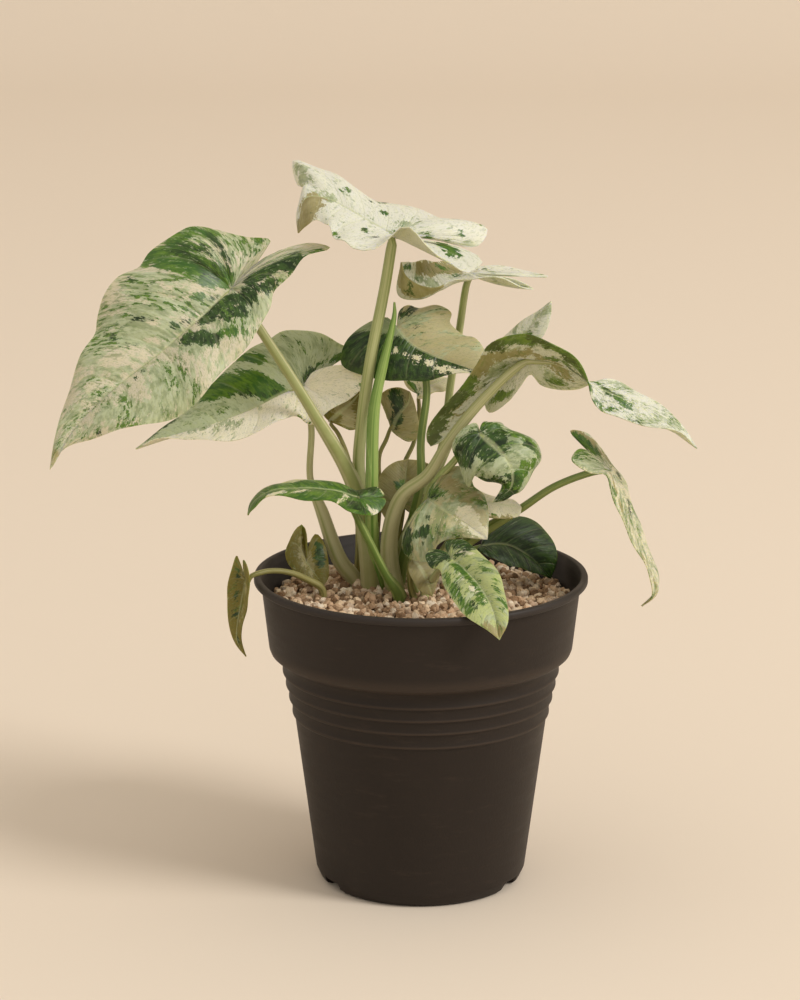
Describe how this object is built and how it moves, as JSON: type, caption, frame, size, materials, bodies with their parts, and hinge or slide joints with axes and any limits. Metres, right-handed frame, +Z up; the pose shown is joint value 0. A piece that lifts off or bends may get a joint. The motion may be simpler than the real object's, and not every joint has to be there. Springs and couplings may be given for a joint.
{
  "type": "potted splash giant taro",
  "caption": "Variegated aroid house plant with cream, green and white marbled arrow-shaped leaves on upright stalks, in a round tapered plastic nursery pot filled with pale grit.",
  "frame": {"origin": "middle of the pot's base, in the plane it stands on", "axes": "+Z up along the pot's axis; -Y towards the viewer of the picture; the largest leaf reaches towards -X"},
  "size_m": [0.2258, 0.1244, 0.2555],
  "materials": {
    "pot_plastic": "moulded, matt brown-black with a greyer lip",
    "grit": "loose pumice grains, cream to pinkish brown",
    "corm_skin": "rough brown rings, buried in the grit",
    "marbled_leaf": "waxy leaf, cream and green marbled",
    "pale_leaf": "waxy leaf, nearly white",
    "dark_leaf": "waxy leaf, dark green",
    "olive_leaf": "ageing leaf, olive to tan",
    "new_leaf": "fresh rolled leaf, smooth bright green"
  },
  "bodies": {
    "root": {"pot": "pot_plastic", "grit": "grit", "corm": "corm_skin", "leaf_big_left": "marbled_leaf", "leaf_long_left": "marbled_leaf", "leaf_top_right": "marbled_leaf", "leaf_right_arching": "marbled_leaf", "leaf_right_marbled": "marbled_leaf", "leaf_far_right": "marbled_leaf", "leaf_low_left": "marbled_leaf", "leaf_over_rim": "marbled_leaf", "leaf_centre_pale": "marbled_leaf", "leaf_top_white": "pale_leaf", "leaf_pale_upright": "pale_leaf", "leaf_centre_white": "pale_leaf", "leaf_back_cream": "pale_leaf", "leaf_middle_dark": "dark_leaf", "leaf_side_hanging": "dark_leaf", "leaf_back_dark": "dark_leaf", "leaf_side_olive": "olive_leaf", "leaf_back_olive": "olive_leaf", "leaf_back_tan": "olive_leaf", "leaf_back_left": "olive_leaf", "leaf_withered": "olive_leaf", "new_leaf_rolled": "new_leaf"}
  },
  "joints": []
}
